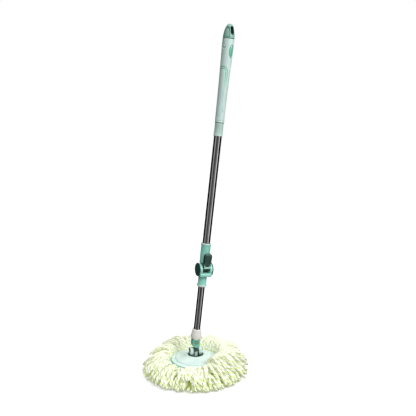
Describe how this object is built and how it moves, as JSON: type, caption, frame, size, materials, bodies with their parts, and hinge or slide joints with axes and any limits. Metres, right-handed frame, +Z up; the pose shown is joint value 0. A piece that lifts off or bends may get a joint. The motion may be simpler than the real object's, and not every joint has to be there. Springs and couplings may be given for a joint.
{
  "type": "spin mop",
  "caption": "Spin mop: round strand head on a plate, two-pin tilting neck, telescoping steel pole with cam-lever lock and twisted drive rod, moulded grip with hanging hole.",
  "frame": {"origin": "centre of the mop head on the floor, under the neck", "axes": "+Z up, -Y towards the front of the grip (the hanging hole runs along Y), +X to the right seen from the front; the pole leans 6.1 degrees towards +X, -Y"},
  "size_m": [0.3578, 0.3578, 1.1149],
  "materials": {
    "strand_yarn": "plump white microfibre yarn with lime-green yarn twisted in",
    "pale_mint_plastic": "smooth moulded plastic, very pale mint",
    "mint_plastic": "smooth moulded plastic, mint green",
    "teal_plastic": "smooth moulded plastic, teal green",
    "dark_green_plastic": "satin moulded plastic, dark green",
    "sage_plastic": "smooth moulded plastic, sage green",
    "cream_plastic": "moulded plastic, off-white",
    "black_plastic": "moulded plastic, black",
    "clamp_rubber": "dull rubber",
    "polished_steel": "polished stainless tube with fine lengthwise brushing",
    "pin_steel": "bright zinc-plated steel",
    "screw_steel": "zinc-plated screws"
  },
  "bodies": {
    "mop_head": {"mop_strands": "strand_yarn", "strand_ring": "mint_plastic", "head_plate": "pale_mint_plastic", "hub_cup": "dark_green_plastic", "hub_bracket": "pale_mint_plastic", "hub_screw_left": "screw_steel", "hub_screw_right": "screw_steel", "hub_screw_back": "screw_steel", "tilt_pin": "pin_steel", "tilt_pin_cap_left": "black_plastic", "tilt_pin_cap_right": "black_plastic"},
    "cross_link": {"cross_block": "pale_mint_plastic"},
    "lower_pole": {"neck_fork": "teal_plastic", "sway_pin": "pin_steel", "neck_collar": "cream_plastic", "collar_screw": "screw_steel", "inner_tube": "polished_steel"},
    "guide_carrier": {"guide_bush": "black_plastic", "nut_retainer": "pin_steel"},
    "drive_nut": {"drive_nut": "cream_plastic"},
    "upper_pole": {"outer_tube": "polished_steel", "twisted_rod": "pin_steel", "rod_stop": "black_plastic", "rod_anchor": "cream_plastic", "rod_pin": "pin_steel", "lock_sleeve": "mint_plastic", "lock_yoke": "mint_plastic", "lever_pin": "pin_steel", "side_cap_left": "dark_green_plastic", "side_cap_right": "dark_green_plastic", "lock_screw_lower": "screw_steel", "lock_screw_upper": "screw_steel", "grip_ferrule": "sage_plastic", "groove_ring": "dark_green_plastic", "grip_body": "pale_mint_plastic", "grip_inset": "teal_plastic", "grip_screw": "screw_steel", "end_cap": "sage_plastic"},
    "lock_lever": {"lock_lever": "dark_green_plastic"},
    "clamp_shoe": {"clamp_shoe": "clamp_rubber"}
  },
  "joints": [
    {"name": "neck_tilt", "type": "hinge", "parent": "mop_head", "child": "cross_link", "pos_m": [0, 0, 0.076], "axis": [0.9063, -0.4226, 0], "range_deg": [-76, 73]},
    {"name": "neck_sway", "type": "hinge", "parent": "cross_link", "child": "lower_pole", "pos_m": [-0.0004, -0.00085, 0.10598], "axis": [0.4224, 0.9059, 0.0312], "range_deg": [-50, 39]},
    {"name": "pole_spin", "type": "hinge", "parent": "lower_pole", "child": "guide_carrier", "pos_m": [-0.0004, -0.00085, 0.10598], "axis": [0.079, -0.0711, 0.9943], "continuous": true},
    {"name": "telescope", "type": "slide", "parent": "guide_carrier", "child": "upper_pole", "axis": [0.079, -0.0711, 0.9943], "range_m": [-0.135, 0.12]},
    {"name": "nut_turn", "type": "hinge", "parent": "guide_carrier", "child": "drive_nut", "pos_m": [-0.0004, -0.00085, 0.10598], "axis": [0.079, -0.0711, 0.9943], "range_deg": [-362, 407]},
    {"name": "lever_open", "type": "hinge", "parent": "upper_pole", "child": "lock_lever", "pos_m": [0.01397, -0.03633, 0.35423], "axis": [0.953, -0.2874, -0.0962], "range_deg": [0, 110]},
    {"name": "shoe_release", "type": "slide", "parent": "upper_pole", "child": "clamp_shoe", "axis": [-0.2926, -0.9552, -0.0451], "range_m": [0, 0.00041]}
  ],
  "couplings": [
    {"joint": "nut_turn", "follows": "telescope", "rad_per_m": -52.36},
    {"joint": "shoe_release", "follows": "lever_open", "m_per_rad": 0.00020835}
  ]
}
